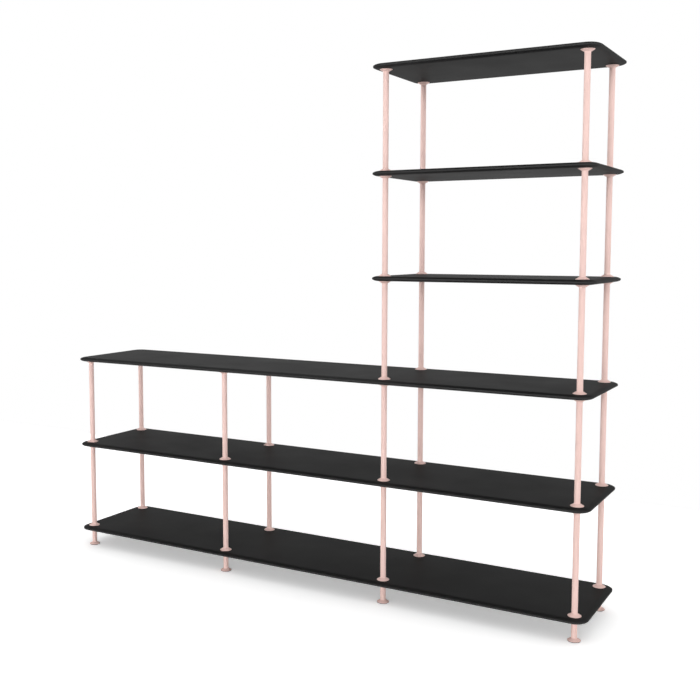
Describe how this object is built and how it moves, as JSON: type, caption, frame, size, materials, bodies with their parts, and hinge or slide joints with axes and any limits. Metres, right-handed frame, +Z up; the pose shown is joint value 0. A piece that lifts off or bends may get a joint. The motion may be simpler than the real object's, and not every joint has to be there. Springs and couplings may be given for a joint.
{
  "type": "stepped shelving unit",
  "caption": "Open stepped shelving unit: long dark shelves with softened edges on slim flared tube posts, with a taller stack of short shelves at one end.",
  "frame": {"origin": "on the floor, under the middle of the unit's width and depth", "axes": "+X to the right along the width, with the tall end at +X; +Y to the back; +Z up"},
  "size_m": [2.051, 0.386, 1.8015],
  "materials": {
    "shelf_lacquer": "matt near-black lacquer on board",
    "post_powder_coat": "matt pale pink powder coat on steel tube",
    "rod_steel": "bright zinc plate",
    "foot_pad_rubber": "dull black"
  },
  "bodies": {
    "root": {"bottom_shelf": "shelf_lacquer", "second_shelf": "shelf_lacquer", "step_shelf": "shelf_lacquer", "fourth_shelf": "shelf_lacquer", "fifth_shelf": "shelf_lacquer", "top_shelf": "shelf_lacquer", "front_post_1_tier_1": "post_powder_coat", "front_post_1_tier_2": "post_powder_coat", "front_tie_rod_1": "rod_steel", "front_post_2_tier_1": "post_powder_coat", "front_post_2_tier_2": "post_powder_coat", "front_tie_rod_2": "rod_steel", "front_post_3_tier_1": "post_powder_coat", "front_post_3_tier_2": "post_powder_coat", "front_post_3_tier_3": "post_powder_coat", "front_post_3_tier_4": "post_powder_coat", "front_post_3_tier_5": "post_powder_coat", "front_tie_rod_3": "rod_steel", "front_post_4_tier_1": "post_powder_coat", "front_post_4_tier_2": "post_powder_coat", "front_post_4_tier_3": "post_powder_coat", "front_post_4_tier_4": "post_powder_coat", "front_post_4_tier_5": "post_powder_coat", "front_tie_rod_4": "rod_steel", "front_feet": "post_powder_coat", "front_foot_pads": "foot_pad_rubber", "back_post_1_tier_1": "post_powder_coat", "back_post_1_tier_2": "post_powder_coat", "back_tie_rod_1": "rod_steel", "back_post_2_tier_1": "post_powder_coat", "back_post_2_tier_2": "post_powder_coat", "back_tie_rod_2": "rod_steel", "back_post_3_tier_1": "post_powder_coat", "back_post_3_tier_2": "post_powder_coat", "back_post_3_tier_3": "post_powder_coat", "back_post_3_tier_4": "post_powder_coat", "back_post_3_tier_5": "post_powder_coat", "back_tie_rod_3": "rod_steel", "back_post_4_tier_1": "post_powder_coat", "back_post_4_tier_2": "post_powder_coat", "back_post_4_tier_3": "post_powder_coat", "back_post_4_tier_4": "post_powder_coat", "back_post_4_tier_5": "post_powder_coat", "back_tie_rod_4": "rod_steel", "back_feet": "post_powder_coat", "back_foot_pads": "foot_pad_rubber"}
  },
  "joints": []
}
